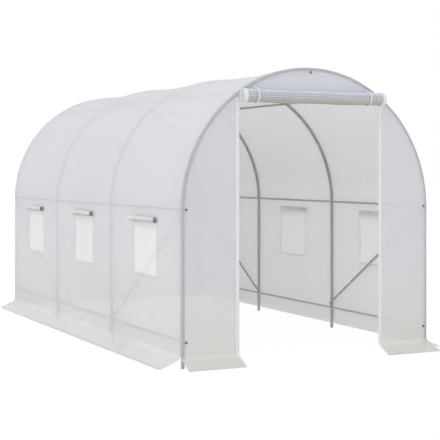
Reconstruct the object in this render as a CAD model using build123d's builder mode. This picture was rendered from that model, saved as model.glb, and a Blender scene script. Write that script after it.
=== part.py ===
from build123d import *
import os
from math import cos, hypot, radians, sin, sqrt

# Walk-in polytunnel greenhouse: a frame of hooped tubes under a stretched sheet cover.
# Millimetres, +Z up. The origin is on the ground at the middle of the plan, the tunnel
# runs along Y, and the doorway faces -Y.

# Tunnel, measured outside the cover
tunnel_width = 2010
tunnel_length = 4000
eave_height = 1061
bays = 3

# Cover sheet, drawn thicker than the real film
cover_thickness = 2
cover_sag = 24
fit_gap = 0.5

# Roof sheet, whose sag in each bay is drawn as this many straight stretches
roof_stretches = 4

# Frame tubes, the hoops and braces drawn with a few flat sides
hoop_tube = 25
tube_sides = 8
purlin_tube = 16
leg_height = 594
spigot_diameter = 21
spigot_length = 58
socket_gap = 0.2
socket_spare = 4
roof_purlin_angle = 58
upper_purlin_rise = 9
lower_purlin_height = 175

# Diagonal braces with flattened ends
brace_tube = 16
brace_end_rise = 32
brace_flat_length = 62
brace_flat_width = 20
brace_flat_thickness = 5

# Ground skirts
fold_height = 66
side_skirt_reach = 153
front_skirt_reach = 125
hem_sag = 2

# Doorway, its zips and the rolled-up door, hung this far below the crown
door_width = 1145
door_head_drop = 226
zip_width = 24
zip_thickness = 2
door_roll_radius = 53
door_roll_drop = 217
tie_width = 20
tie_thickness = 2
tie_inset = 112

# Windows, their screens and the rolled-up flaps, hung this far below the eave
window_width = 432
window_height = 410
window_drop = 65
screen_lap = 15
screen_thickness = 1
flap_roll_radius = 28
flap_overhang = 12
flap_roll_drop = 77

# Rolled sheets
roll_ply = 2.5
roll_pitch = 8
door_roll_half_turns = 6
flap_roll_half_turns = 2

# Roof strips, counted over the half circle of the arch
roof_strips = ("right_eave", "right_haunch", "right_crown", "left_crown", "left_haunch", "left_eave")

# Worked-out places
half_turn = 180
cover_radius = tunnel_width / 2
hoop_radius = cover_radius - cover_thickness - fit_gap - hoop_tube / 2
purlin_radius = hoop_radius - (hoop_tube + purlin_tube) / 2
end_face = tunnel_length / 2
sheet_end = end_face - cover_thickness
end_row = sheet_end - fit_gap - hoop_tube / 2
bay_length = 2 * end_row / bays
hoop_rows = [-end_row + bay_length * i for i in range(bays + 1)]
bay_middles = [row + bay_length / 2 for row in hoop_rows[:-1]]
hoop_names = ("front", "second", "third", "rear")
sides = (("left", -1), ("right", 1))
roof_purlin_height = eave_height + purlin_radius * sin(radians(roof_purlin_angle))
roof_purlin_across = purlin_radius * cos(radians(roof_purlin_angle))
upper_purlin_height = eave_height + upper_purlin_rise
upper_purlin_across = sqrt(purlin_radius**2 - upper_purlin_rise**2)
purlin_places = {
    "ridge_purlin": (0, eave_height + purlin_radius),
    "left_roof_purlin": (-roof_purlin_across, roof_purlin_height),
    "right_roof_purlin": (roof_purlin_across, roof_purlin_height),
    "left_upper_purlin": (-upper_purlin_across, upper_purlin_height),
    "right_upper_purlin": (upper_purlin_across, upper_purlin_height),
    "left_lower_purlin": (-purlin_radius, lower_purlin_height),
    "right_lower_purlin": (purlin_radius, lower_purlin_height),
}
crown_height = eave_height + cover_radius
flat_turn = half_turn / tube_sides
sag_radius = (bay_length**2 / 4 + cover_sag**2) / (2 * cover_sag)
springing = Axis((0, 0, eave_height), (0, -1, 0))

os.makedirs("parts", exist_ok=True)


def save(piece, name):
    """Labels a finished piece and writes it as its own file."""
    piece.part.label = name
    export_step(piece.part, f"parts/{name}.step")


def arch_plane(angle):
    """The plane through the springing line whose X points out of the arch at this angle."""
    turn = radians(angle)
    return Plane(
        origin=(0, 0, eave_height),
        x_dir=(cos(turn), 0, sin(turn)),
        z_dir=(-sin(turn), 0, cos(turn)),
    )


def pulled_in(from_middle):
    """How far the cover stands inside the hoops at this distance from the middle of a bay."""
    return sqrt(sag_radius**2 - from_middle**2) - sag_radius + cover_sag


def tube_section(diameter):
    """Outlines a tube this wide across its flats, with flats towards its sketch's axes."""
    RegularPolygon(diameter / 2, tube_sides, major_radius=False, rotation=flat_turn)


def scalloped_strip(outer, sag, ply):
    """Outlines a sheet that is held out by each hoop and pulled in between them."""
    for edge in (outer, outer - ply):
        for start, end in zip(hoop_rows, hoop_rows[1:]):
            ThreePointArc((edge, start), (edge - sag, (start + end) / 2), (edge, end))
        Line((edge, -sheet_end), (edge, hoop_rows[0]))
        Line((edge, hoop_rows[-1]), (edge, sheet_end))
    for end in (-sheet_end, sheet_end):
        Line((outer, end), (outer - ply, end))


def roof_outline():
    """Outlines the roof sheet along the tunnel, its sag between the hoops made of straight stretches."""
    stretch = bay_length / roof_stretches
    for edge in (cover_radius, cover_radius - cover_thickness):
        sagging = [
            (edge - pulled_in(row + stretch * i - middle), row + stretch * i)
            for row, middle in zip(hoop_rows, bay_middles)
            for i in range(roof_stretches)
        ]
        Polyline((edge, -sheet_end), *sagging, (edge, end_row), (edge, sheet_end))
    for end in (-sheet_end, sheet_end):
        Line((cover_radius, end), (cover_radius - cover_thickness, end))


def end_outline():
    """Outlines a flat end of the tunnel, from the skirt's fold up to the crown."""
    Line((-cover_radius, eave_height), (-cover_radius, fold_height))
    Line((-cover_radius, fold_height), (cover_radius, fold_height))
    Line((cover_radius, fold_height), (cover_radius, eave_height))
    ThreePointArc((cover_radius, eave_height), (0, crown_height), (-cover_radius, eave_height))


def roll_outline(radius, half_turns):
    """Outlines a sheet rolled up on itself, as half circles that step inwards."""
    for edge in (radius, radius - roll_ply):
        stops = [(edge - roll_pitch / 2 * i) * (-1) ** i for i in range(half_turns + 1)]
        for i, (start, end) in enumerate(zip(stops, stops[1:])):
            bulge = abs(start - end) / 2 * (-1) ** i
            ThreePointArc((start, 0), ((start + end) / 2, bulge), (end, 0))
    inmost = radius - roll_pitch / 2 * half_turns
    turn_side = (-1) ** half_turns
    Line((radius, 0), (radius - roll_ply, 0))
    Line((inmost * turn_side, 0), ((inmost - roll_ply) * turn_side, 0))


# Hoops: two legs with swaged tops, and an arch whose straight tails slip over them
for name, row in zip(hoop_names, hoop_rows):
    for side, sign in sides:
        with BuildPart() as leg:
            with BuildSketch(Plane.XY):
                with Locations((sign * hoop_radius, row)):
                    tube_section(hoop_tube)
            extrude(amount=leg_height)
            with BuildSketch(Plane.XY.offset(leg_height)):
                with Locations((sign * hoop_radius, row)):
                    tube_section(spigot_diameter)
            extrude(amount=spigot_length)
        save(leg, f"{name}_hoop_{side}_leg")

    with BuildPart() as arch:
        with BuildSketch(arch_plane(0)):
            with Locations((hoop_radius, row)):
                tube_section(hoop_tube)
        revolve(axis=springing, revolution_arc=half_turn)
        with BuildSketch(Plane.XY.offset(leg_height)):
            with Locations((-hoop_radius, row), (hoop_radius, row)):
                tube_section(hoop_tube)
        extrude(amount=eave_height - leg_height)
        with BuildSketch(Plane.XY.offset(leg_height)):
            with Locations((-hoop_radius, row), (hoop_radius, row)):
                tube_section(spigot_diameter + 2 * socket_gap)
        extrude(amount=spigot_length + socket_spare, mode=Mode.SUBTRACT)
    save(arch, f"{name}_hoop_arch")

# Purlins: straight tubes on the inside of the hoops, out to the end sheets
purlin_end = sheet_end - fit_gap
for name, (across, height) in purlin_places.items():
    with BuildPart() as purlin:
        with BuildSketch(Plane.XZ.offset(-purlin_end)):
            with Locations((across, height)):
                Circle(purlin_tube / 2)
        extrude(amount=2 * purlin_end)
    save(purlin, name)

# Braces: in the first and last bay, from an inner hoop's foot up to the end hoop's eave
brace_foot = lower_purlin_height + brace_end_rise
brace_head = upper_purlin_height - brace_end_rise
brace_run = bay_length
brace_length = hypot(brace_run, brace_head - brace_foot)
for side, sign in sides:
    with BuildPart() as braces:
        for inner, end in ((hoop_rows[1], -1), (hoop_rows[-2], 1)):
            along = Vector(0, end * brace_run, brace_head - brace_foot)
            face = Plane(
                origin=(sign * (hoop_radius - hoop_tube / 2), inner, brace_foot),
                x_dir=along,
                z_dir=(-sign, 0, 0),
            )
            with BuildSketch(face):
                with Locations(
                    ((brace_flat_length - brace_flat_width) / 2, 0),
                    (brace_length - (brace_flat_length - brace_flat_width) / 2, 0),
                ):
                    SlotOverall(brace_flat_length, brace_flat_width)
            extrude(amount=brace_flat_thickness)
            bar_start = brace_flat_length - brace_flat_width
            tube_plane = Plane(
                origin=face.from_local_coords((bar_start, 0, brace_tube / 2)),
                x_dir=(sign, 0, 0),
                z_dir=along,
            )
            with BuildSketch(tube_plane):
                tube_section(brace_tube)
            extrude(amount=brace_length - 2 * bar_start)
    save(braces, f"{side}_braces")

# Roof cover, in strips round the arch
strip_angle = half_turn / len(roof_strips)
for i, name in enumerate(roof_strips):
    with BuildPart() as strip:
        with BuildSketch(arch_plane(strip_angle * i)):
            with BuildLine():
                roof_outline()
            make_face()
        revolve(axis=springing, revolution_arc=strip_angle)
    save(strip, f"roof_cover_{name}")

# Side walls, with the windows cut through them, their screens and their rolled-up flaps
window_sill = eave_height - window_drop - window_height
window_middle = window_sill + window_height / 2
flap_roll_height = eave_height - flap_roll_drop
flap_roll_length = window_width + 2 * flap_overhang
for side, sign in sides:
    with BuildPart() as wall:
        with BuildSketch(Plane.XY.offset(fold_height)):
            with BuildLine():
                scalloped_strip(sign * cover_radius, sign * cover_sag, sign * cover_thickness)
            make_face()
        extrude(amount=eave_height - fold_height)
        with BuildSketch(Plane.YZ):
            with Locations(*[(middle, window_middle) for middle in bay_middles]):
                Rectangle(window_width, window_height)
        extrude(amount=sign * tunnel_width, mode=Mode.SUBTRACT)
    save(wall, f"{side}_wall_cover")

    screen_half = window_width / 2 + screen_lap
    screen_face = cover_radius - cover_thickness
    with BuildPart() as screens:
        with BuildSketch(Plane.XY.offset(window_sill - screen_lap)):
            for middle in bay_middles:
                with BuildLine():
                    for face in (screen_face, screen_face - screen_thickness):
                        edge = sign * (face - pulled_in(screen_half))
                        ThreePointArc(
                            (edge, middle - screen_half),
                            (sign * (face - cover_sag), middle),
                            (edge, middle + screen_half),
                        )
                    for end in (middle - screen_half, middle + screen_half):
                        near = sign * (screen_face - pulled_in(screen_half))
                        Line((near, end), (near - sign * screen_thickness, end))
                make_face()
        extrude(amount=window_height + 2 * screen_lap)
    save(screens, f"{side}_window_screens")

    roll_place = cover_radius - pulled_in(flap_roll_length / 2) + fit_gap + flap_roll_radius
    with BuildPart() as rolls:
        for middle in bay_middles:
            flap_end = Plane(
                origin=(sign * roll_place, middle - flap_roll_length / 2, flap_roll_height),
                x_dir=(-sign, 0, 0),
                z_dir=(0, 1, 0),
            )
            with BuildSketch(flap_end):
                with BuildLine():
                    roll_outline(flap_roll_radius, flap_roll_half_turns)
                make_face()
            extrude(amount=flap_roll_length)
    save(rolls, f"{side}_window_rolls")

# End sheets: split beside and over the doorway in front, whole at the back
door_half = door_width / 2
door_head = crown_height - door_head_drop
panel_width = cover_radius - door_half
panel_rise = crown_height - fold_height
panel_middle = fold_height + panel_rise / 2
end_sheets = {
    "front_left_panel": (-1, (-door_half - panel_width / 2, panel_middle), (panel_width, panel_rise)),
    "front_right_panel": (-1, (door_half + panel_width / 2, panel_middle), (panel_width, panel_rise)),
    "front_top_panel": (-1, (0, crown_height - door_head_drop / 2), (door_width, door_head_drop)),
    "back_panel": (1, (0, panel_middle), (tunnel_width, panel_rise)),
}
for name, (end, middle, extent) in end_sheets.items():
    with BuildPart() as panel:
        with BuildSketch(Plane.XZ.offset(-end * end_face)):
            with BuildLine():
                end_outline()
            make_face()
            with Locations(middle):
                Rectangle(*extent, mode=Mode.INTERSECT)
        extrude(amount=end * cover_thickness)
    save(panel, name)

# Skirts: flaps that lie out from the fold to the ground
side_ply = cover_thickness * hypot(side_skirt_reach, fold_height) / fold_height
for side, sign in sides:
    with BuildPart() as skirt:
        fold_edge = cover_radius - cover_thickness + side_ply
        hem_edge = cover_radius + side_skirt_reach
        for height, edge, sag in ((fold_height, fold_edge, cover_sag), (0, hem_edge, hem_sag)):
            with BuildSketch(Plane.XY.offset(height)):
                with BuildLine():
                    scalloped_strip(sign * edge, sign * sag, sign * side_ply)
                make_face()
        loft(ruled=True)
    save(skirt, f"{side}_skirt")

end_ply = cover_thickness * hypot(front_skirt_reach, fold_height) / fold_height
end_skirts = {
    "front_left_skirt": (-1, -cover_radius, panel_width),
    "front_right_skirt": (-1, door_half, panel_width),
    "back_skirt": (1, -cover_radius, tunnel_width),
}
for name, (end, start, width) in end_skirts.items():
    with BuildPart() as skirt:
        hem = end_face + front_skirt_reach
        with BuildSketch(Plane.YZ.offset(start)):
            with BuildLine():
                Polyline(
                    (end * sheet_end, fold_height),
                    (end * (sheet_end + end_ply), fold_height),
                    (end * hem, 0),
                    (end * (hem - end_ply), 0),
                    close=True,
                )
            make_face()
        extrude(amount=width)
    save(skirt, name)

# Door: zip tapes along the doorway, the sheet rolled up over its head and the ties that hold it
zip_length = door_head - fold_height
with BuildPart() as zips:
    with BuildSketch(Plane.XZ.offset(end_face)):
        with GridLocations(door_width + zip_width, 0, 2, 1):
            with Locations((0, fold_height + zip_length / 2)):
                Rectangle(zip_width, zip_length)
        with BuildSketch(mode=Mode.INTERSECT):
            with BuildLine():
                end_outline()
            make_face()
    extrude(amount=zip_thickness)
save(zips, "door_zips")

door_roll_height = crown_height - door_roll_drop
door_roll_row = -end_face - zip_thickness - fit_gap - door_roll_radius
with BuildPart() as door_roll:
    roll_end = Plane(
        origin=(-door_half, door_roll_row, door_roll_height),
        x_dir=(0, 1, 0),
        z_dir=(1, 0, 0),
    )
    with BuildSketch(roll_end):
        with BuildLine():
            roll_outline(door_roll_radius, door_roll_half_turns)
        make_face()
    extrude(amount=door_width)
save(door_roll, "door_roll")

tie_inside = door_roll_radius + fit_gap
tie_strap = -end_face - door_roll_row
tie_place = door_half - tie_inset
with BuildPart() as ties:
    for place in (-tie_place, tie_place):
        with BuildSketch(Plane.YZ.offset(place - tie_width / 2)):
            with Locations((door_roll_row, door_roll_height)):
                Circle(tie_inside + tie_thickness)
            with Locations(
                (door_roll_row + tie_strap / 2, door_roll_height + tie_inside + tie_thickness / 2)
            ):
                Rectangle(tie_strap, tie_thickness)
            with Locations((door_roll_row, door_roll_height)):
                Circle(tie_inside, mode=Mode.SUBTRACT)
        extrude(amount=tie_width)
save(ties, "door_ties")
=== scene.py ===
from math import acos, asin, atan2, copysign, cos, hypot, pi, radians, sin, sqrt, tan

import bmesh
import bpy
from mathutils import Matrix, Vector, noise


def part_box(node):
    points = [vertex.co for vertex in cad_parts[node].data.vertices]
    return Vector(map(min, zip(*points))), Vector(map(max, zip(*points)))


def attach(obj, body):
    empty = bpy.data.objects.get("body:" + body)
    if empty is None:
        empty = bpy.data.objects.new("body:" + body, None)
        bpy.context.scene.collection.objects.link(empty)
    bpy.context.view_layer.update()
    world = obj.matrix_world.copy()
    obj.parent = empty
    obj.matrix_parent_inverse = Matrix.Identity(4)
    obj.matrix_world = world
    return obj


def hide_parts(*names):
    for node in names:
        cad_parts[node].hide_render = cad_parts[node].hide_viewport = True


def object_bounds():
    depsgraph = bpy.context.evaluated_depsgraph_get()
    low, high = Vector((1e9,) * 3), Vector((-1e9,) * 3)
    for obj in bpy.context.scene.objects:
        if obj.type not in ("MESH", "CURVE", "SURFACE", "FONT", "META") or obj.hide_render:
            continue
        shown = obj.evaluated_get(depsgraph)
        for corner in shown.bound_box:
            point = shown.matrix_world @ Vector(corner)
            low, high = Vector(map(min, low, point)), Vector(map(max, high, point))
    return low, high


# A walk-in polytunnel greenhouse: round tubes under a thread-reinforced film, with a rolled-up door,
# mesh windows with rolled-up flaps and skirts that lie out on the ground. Metres, in the part's frame.
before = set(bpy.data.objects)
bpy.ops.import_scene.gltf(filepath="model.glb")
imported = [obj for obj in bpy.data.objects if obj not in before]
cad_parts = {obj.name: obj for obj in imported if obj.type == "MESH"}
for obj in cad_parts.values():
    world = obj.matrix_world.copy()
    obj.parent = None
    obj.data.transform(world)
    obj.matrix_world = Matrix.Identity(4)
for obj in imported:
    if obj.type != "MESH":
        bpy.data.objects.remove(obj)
cad_low, cad_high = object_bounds()


def middle(node):
    """The middle of a node's box."""
    low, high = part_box(node)
    return (low + high) / 2


# The one body, and the names of its nodes
BODY = "root"
HOOPS = ("front", "second", "third", "rear")
SIDES = (("left", -1), ("right", 1))
STRIPS = ("right_eave", "right_haunch", "right_crown", "left_crown", "left_haunch", "left_eave")
PURLIN_PLACES = ("roof", "upper", "lower")
PURLINS = ["ridge_purlin"] + [f"{side}_{place}_purlin" for side, _ in SIDES for place in PURLIN_PLACES]

# Sizes that the frame gives
leg_low, leg_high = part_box("front_hoop_right_leg")
wall_low, wall_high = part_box("right_wall_cover")
screens_low, screens_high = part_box("right_window_screens")
door_roll_low, door_roll_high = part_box("door_roll")
ties_low, ties_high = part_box("door_ties")
flap_rolls_low, flap_rolls_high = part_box("right_window_rolls")
ROWS = [middle(f"{hoop}_hoop_arch").y for hoop in HOOPS]
BAY_MIDDLES = [(start + end) / 2 for start, end in zip(ROWS, ROWS[1:])]
END_ROW = ROWS[-1]
BAY = ROWS[1] - ROWS[0]
EAVE = wall_high.z
FOLD = wall_low.z
TUBE = (leg_high.x - leg_low.x) / 2
HOOP = (leg_high.x + leg_low.x) / 2
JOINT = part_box("front_hoop_arch")[0].z
SIDE_HEM = cad_high.x
END_HEM = cad_high.y
gable_low, gable_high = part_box("front_top_panel")
DOOR_HALF = gable_high.x
DOOR_HEAD = gable_low.z

# Film: how it stands off the tubes, hangs between them and turns out at the ground
FILM_LIFT = 0.0006
INNER_LIFT = 0.005
INNER_RUN = 0.3
SAG = 0.024
SAG_ROUNDING = 0.02
HEM_SAG = 0.002
WRINKLE = 0.0022
DRAWN_FOLD = 0.0048
RIPPLE = 0.004
END_RIPPLE = 0.003
END_SLACK = 0.005
LEG_CLEAR = 0.006
FLARE_BEND = 0.022
FLARE_RISE = FOLD + FLARE_BEND
HEM_LIFT = 0.0012
WRAP = TUBE + FILM_LIFT
SKIN = HOOP + WRAP
ARC = SKIN * pi / 2
WRAP_TURN = radians(125)
WRAP_STEPS = 8
PANEL_GAP = 0.0008
EDGE_GAP = 0.0006
SPREAD_GAP = 0.001
PANEL_PLANE = END_ROW + WRAP * sin(WRAP_TURN) + PANEL_GAP
PANEL_EDGE = HOOP + WRAP * cos(WRAP_TURN) + EDGE_GAP
END_SPREAD = SKIN + SPREAD_GAP - PANEL_EDGE
# How far the end skirts' corners stand out: by the way the end faces, and whether x is above 0
SPLAY = {(-1, False): 0.0, (-1, True): 0.034, (1, False): 0.012, (1, True): 0.006}
SKIRT_CORNER = 0.04
CORNER_RUN = 0.16
CORNER_CUTS = (0.02, 0.1, 0.25, 0.5)
SLEEVE_LIFT = 0.014
CELL = 0.024
LONG_CELL = 1.2
END_ROWS = 64
HEAD_ROWS = 8

# Windows
SCREEN_LAP = 0.015
SCREEN_DEPTH = 0.0015
PANE_CELLS = (20, 20)
WINDOW_SILL = screens_low.z + SCREEN_LAP
WINDOW_HEAD = screens_high.z - SCREEN_LAP
WINDOW_HALF = screens_high.y - BAY_MIDDLES[-1] - SCREEN_LAP

# Rolls
DOOR_ROLL = (door_roll_high.z - door_roll_low.z) / 2
DOOR_ROLL_CENTRE = (door_roll_low + door_roll_high) / 2
DOOR_ROLL_HALF = door_roll_high.x
EDGE_TAPE = 0.026
EDGE_TAPE_OVER = 0.001
EDGE_TAPE_THICKNESS = 0.003
FLAP_HALF = flap_rolls_high.y - BAY_MIDDLES[-1]
FLAP_ROLL = (flap_rolls_high.z - flap_rolls_low.z) / 2
FLAP_HEIGHT = (flap_rolls_high.z + flap_rolls_low.z) / 2

# Share of light that goes straight through the film, how far apart and how wide threads are,
# and the heights between which dust, soil, painted shade and painted warm ground light fade out
CLEAR = 0.09
THREAD_LINES = (0.0125, 0.0016)
RIB_LINES = (0.0031, 0.0012)
DUST_AND_SHADE_HEIGHTS = (0.02, 0.75)
SOIL_AND_SHADE_HEIGHTS = (0.045, 0.085)
# Width over which the painted shade round an end hoop fades in
SHADE_BAND_EDGE = 0.012
ROLL_PITCH = 0.0145
YARN_LINES = (0.0022, 0.0007)
WARP_LINES = (0.0017, 0.0007)
WEFT_LINES = (0.0024, 0.0008)


class Value:
    """A shader socket that takes part in plain arithmetic."""

    def __init__(self, finish, socket):
        self.finish = finish
        self.socket = socket

    def math(self, operation, *others, clamp=False):
        inputs = dict(enumerate((self, *others)))
        return self.finish.node("Math", {"operation": operation, "use_clamp": clamp}, inputs)

    def __add__(self, other):
        return self.math("ADD", other)

    __radd__ = __add__

    def __sub__(self, other):
        return self.math("SUBTRACT", other)

    def __rsub__(self, other):
        return self.finish.node("Math", {"operation": "SUBTRACT"}, {0: other, 1: self})

    def __mul__(self, other):
        return self.math("MULTIPLY", other)

    __rmul__ = __mul__

    def __truediv__(self, other):
        return self.math("DIVIDE", other)

    def near_line(self, pitch, width):
        """1 on lines this far apart and this wide, 0 between them, with soft edges."""
        away = self.math("PINGPONG", pitch / 2)
        return (1 - away / width).math("ADD", 0.5, clamp=True)

    def above(self, start, end):
        """Rises from 0 at start to 1 at end."""
        return ((self - start) / (end - start)).share()

    def larger(self, other):
        return self.math("MAXIMUM", other)

    def share(self):
        """Kept from 0 to 1."""
        return self.math("ADD", 0.0, clamp=True)


class Finish:
    """A material whose nodes are added by one method."""

    def __init__(self, name):
        self.material = bpy.data.materials.new(name)
        self.material.use_nodes = True
        self.tree = self.material.node_tree
        self.tree.nodes.clear()

    def node(self, kind, settings=None, inputs=None, output=0):
        made = self.tree.nodes.new("ShaderNode" + kind)
        for name, setting in (settings or {}).items():
            setattr(made, name, setting)
        for name, value in (inputs or {}).items():
            if isinstance(value, Value):
                self.tree.links.new(value.socket, made.inputs[name])
            else:
                made.inputs[name].default_value = value
        return Value(self, made.outputs[output])

    def place(self, kind):
        """The Object or UV coordinates, as one vector and as three numbers."""
        vector = self.node("TexCoord", output=kind)
        return vector, [self.node("SeparateXYZ", inputs={0: vector}, output=axis) for axis in range(3)]

    def cloud(self, vector, scale, detail=2.0):
        return self.node("TexNoise", inputs={"Vector": vector, "Scale": scale, "Detail": detail})

    def stretched(self, vector, scale):
        return self.node("Mapping", inputs={"Vector": vector, "Scale": scale})

    def mix(self, factor, first, second):
        return self.node("Mix", {"data_type": "RGBA"}, {0: factor, 6: first, 7: second}, output=2)

    def bump(self, height, strength, distance):
        return self.node("Bump", inputs={"Height": height, "Strength": strength, "Distance": distance})

    def done(self, shader):
        out = self.tree.nodes.new("ShaderNodeOutputMaterial")
        self.tree.links.new(shader.socket, out.inputs["Surface"])
        return self.material


def shade(red, green, blue):
    return (red, green, blue, 1.0)


# Dust low down and on the skirts, which also stands for painted shade there
DUST_AND_SHADE = shade(0.69, 0.68, 0.67)


def film_finish(name, thread, film, through, passes, soil_and_shade=(DUST_AND_SHADE, DUST_AND_SHADE), shade_band=None):
    """Translucent film with a net of white threads laid into it, tinted low down and on its skirt: partly
    dust and soil, partly painted shade and painted warm light from the ground.

    Past the shade band, where it is drawn round an end hoop, it is painted darker: painted shade of the
    hoop's tube behind the film."""
    finish = Finish(name)
    flat, (across, along, _) = finish.place("UV")
    _, (_, _, height) = finish.place("Object")
    threads = across.near_line(*THREAD_LINES).larger(along.near_line(*THREAD_LINES))
    mottle = finish.cloud(flat, 1.7, 3.0)
    creases = finish.cloud(finish.stretched(flat, (2.4, 5.0, 1.0)), 2.0, 4.0)
    ribs = across.near_line(*RIB_LINES) * 0.5 + along.near_line(*RIB_LINES) * 0.5
    # Low down the film is tinted: partly dust, partly painted shade and painted warm light from the ground
    low = 1 - height.above(*DUST_AND_SHADE_HEIGHTS)
    dust_and_shade = (low * (0.45 + 0.5 * mottle)).share()
    colour = finish.mix(threads * 0.85, film, thread)
    colour = finish.mix(dust_and_shade * 0.8, colour, soil_and_shade[0])
    # The skirt is darkened again: partly soil, partly painted shade
    colour = finish.mix((1 - height.above(*SOIL_AND_SHADE_HEIGHTS)) * 0.6, colour, soil_and_shade[1])
    # Painted shade: darker blue-grey where the film is drawn round an end hoop, standing for the shade of the
    # tube behind it
    if shade_band:
        end = along.math("ABSOLUTE").above(shade_band, shade_band + SHADE_BAND_EDGE) * height.above(FOLD, FLARE_RISE)
        colour = finish.mix(end * 0.38, colour, shade(0.47, 0.50, 0.58))
    colour = finish.mix(mottle.above(0.45, 0.8) * 0.12, colour, shade(0.70, 0.73, 0.79))
    relief = threads * 0.28 + ribs * 0.1 + creases * 2.6
    normal = finish.bump(relief, 0.35, 0.004)
    gloss = 0.36 + 0.16 * mottle - 0.06 * threads
    sheet = finish.node("BsdfPrincipled", inputs={"Base Color": colour, "Roughness": gloss, "Normal": normal})
    glow = finish.node("BsdfTranslucent", inputs={"Color": through, "Normal": normal})
    clear = finish.node("BsdfTransparent")
    film_body = finish.node("MixShader", inputs={0: passes - 0.20 * threads, 1: sheet, 2: glow})
    return finish.done(finish.node("MixShader", inputs={0: CLEAR, 1: film_body, 2: clear}))


def roll_finish(name, thread, film, through, centre, radius, width, top_highlight, taped, passes):
    """Film wound into a roll: its threads crowd together; its top is painted pale and bluish, a painted
    highlight, and its underside painted warm and dark, painted shade with some dust.
    """
    finish = Finish(name)
    flat, (across, along, _) = finish.place("UV")
    _, (_, _, height) = finish.place("Object")
    threads = across.near_line(ROLL_PITCH, width).larger(along.near_line(ROLL_PITCH, width))
    cloud = finish.cloud(flat, 9.0, 3.0)
    # Painted light: a pale bluish painted highlight on top, and painted shade, partly dust, underneath
    upper = height.above(centre + 0.35 * radius, centre + 0.75 * radius)
    under = 1 - height.above(centre - 0.85 * radius, centre - 0.2 * radius)
    colour = finish.mix(threads, film, thread)
    edge = across.math("ABSOLUTE").above(taped, taped + 0.001)
    colour = finish.mix(edge, colour, shade(0.84, 0.85, 0.88))
    colour = finish.mix(upper * top_highlight, colour, shade(0.74, 0.79, 0.88))
    colour = finish.mix(under * (0.45 + 0.4 * cloud), colour, shade(0.52, 0.46, 0.34))
    normal = finish.bump(threads + cloud, 0.3, 0.002)
    sheet = finish.node("BsdfPrincipled", inputs={
        "Base Color": colour, "Roughness": 0.38 + 0.2 * cloud, "Normal": normal})
    glow = finish.node("BsdfTranslucent", inputs={"Color": through, "Normal": normal})
    return finish.done(finish.node("MixShader", inputs={0: passes + 0.1 * threads, 1: sheet, 2: glow}))


def screen_finish():
    """Fine white mesh."""
    finish = Finish("window_mesh")
    flat, (across, along, _) = finish.place("UV")
    yarn = across.near_line(*YARN_LINES).larger(along.near_line(*YARN_LINES))
    cloud = finish.cloud(flat, 6.0)
    colour = finish.mix(yarn, shade(0.905, 0.915, 0.985), shade(0.93, 0.94, 1.0))
    colour = finish.mix(cloud.above(0.4, 0.8) * 0.2, colour, shade(0.93, 0.93, 0.94))
    normal = finish.bump(yarn, 0.4, 0.0006)
    cloth = finish.node("BsdfPrincipled", inputs={
        "Base Color": colour, "Roughness": 0.55 + 0.1 * cloud, "Normal": normal})
    glow = finish.node("BsdfTranslucent", inputs={"Color": shade(0.97, 0.94, 0.88), "Normal": normal})
    return finish.done(finish.node("MixShader", inputs={0: 0.47 - 0.1 * yarn, 1: cloth, 2: glow}))


def tape_finish(name, light, dark):
    """White woven tape."""
    finish = Finish(name)
    place, (across, along, up) = finish.place("Object")
    weft = along.near_line(*WEFT_LINES).larger(up.near_line(*WEFT_LINES))
    weave = weft * across.near_line(*WARP_LINES)
    cloud = finish.cloud(place, 14.0, 3.0)
    colour = finish.mix(weave * 0.4 + cloud * 0.3, light, dark)
    normal = finish.bump(weave, 0.4, 0.0005)
    return finish.done(finish.node(
        "BsdfPrincipled", inputs={"Base Color": colour, "Roughness": 0.62 + 0.14 * cloud, "Normal": normal}))


def tube_finish(name, low, high):
    """Dull galvanised tube with its faint spangle and scuffs, which is painted darker and warmer up in the
    arch: painted shade and painted reflection.
    """
    finish = Finish(name)
    place, (_, _, height) = finish.place("Object")
    spangle = finish.node("TexVoronoi", inputs={"Vector": place, "Scale": 90.0}, output="Distance")
    cloud = finish.cloud(place, 7.0, 4.0)
    scuffs = finish.cloud(finish.stretched(place, (30.0, 4.0, 30.0)), 3.0, 5.0).above(0.56, 0.66)
    # Painted reflection and shade: the low colour below the eaves, the high one up in the arch
    colour = finish.mix(height.above(EAVE - 0.15, EAVE + 0.2), low, high)
    colour = finish.mix(cloud.above(0.35, 0.7) * 0.4, colour, shade(0.60, 0.57, 0.52))
    colour = finish.mix(spangle.above(0.1, 0.7) * 0.35, colour, shade(0.55, 0.54, 0.52))
    colour = finish.mix(scuffs * 0.35, colour, shade(0.26, 0.24, 0.20))
    gloss = 0.40 + 0.16 * cloud + 0.12 * scuffs
    normal = finish.bump(spangle + cloud, 0.12, 0.001)
    return finish.done(finish.node("BsdfPrincipled", inputs={
        "Base Color": colour, "Roughness": gloss, "Metallic": 0.45 - 0.3 * scuffs, "Normal": normal}))


def zinc_finish():
    """Bright zinc of bolts and washers."""
    finish = Finish("zinc_bolt")
    place, _ = finish.place("Object")
    cloud = finish.cloud(place, 160.0, 3.0)
    colour = finish.mix(cloud, shade(0.62, 0.62, 0.60), shade(0.74, 0.74, 0.73))
    return finish.done(finish.node("BsdfPrincipled", inputs={
        "Base Color": colour, "Roughness": 0.3 + 0.2 * cloud, "Metallic": 0.9 - 0.1 * cloud}))


def cap_finish():
    """Dark moulded plastic."""
    finish = Finish("cap_plastic")
    place, _ = finish.place("Object")
    grain = finish.cloud(place, 900.0, 2.0)
    cloud = finish.cloud(place, 60.0, 2.0)
    colour = finish.mix(cloud, shade(0.10, 0.10, 0.105), shade(0.16, 0.16, 0.165))
    normal = finish.bump(grain, 0.15, 0.0003)
    return finish.done(finish.node("BsdfPrincipled", inputs={
        "Base Color": colour, "Roughness": 0.48 + 0.2 * cloud, "Normal": normal}))


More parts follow.
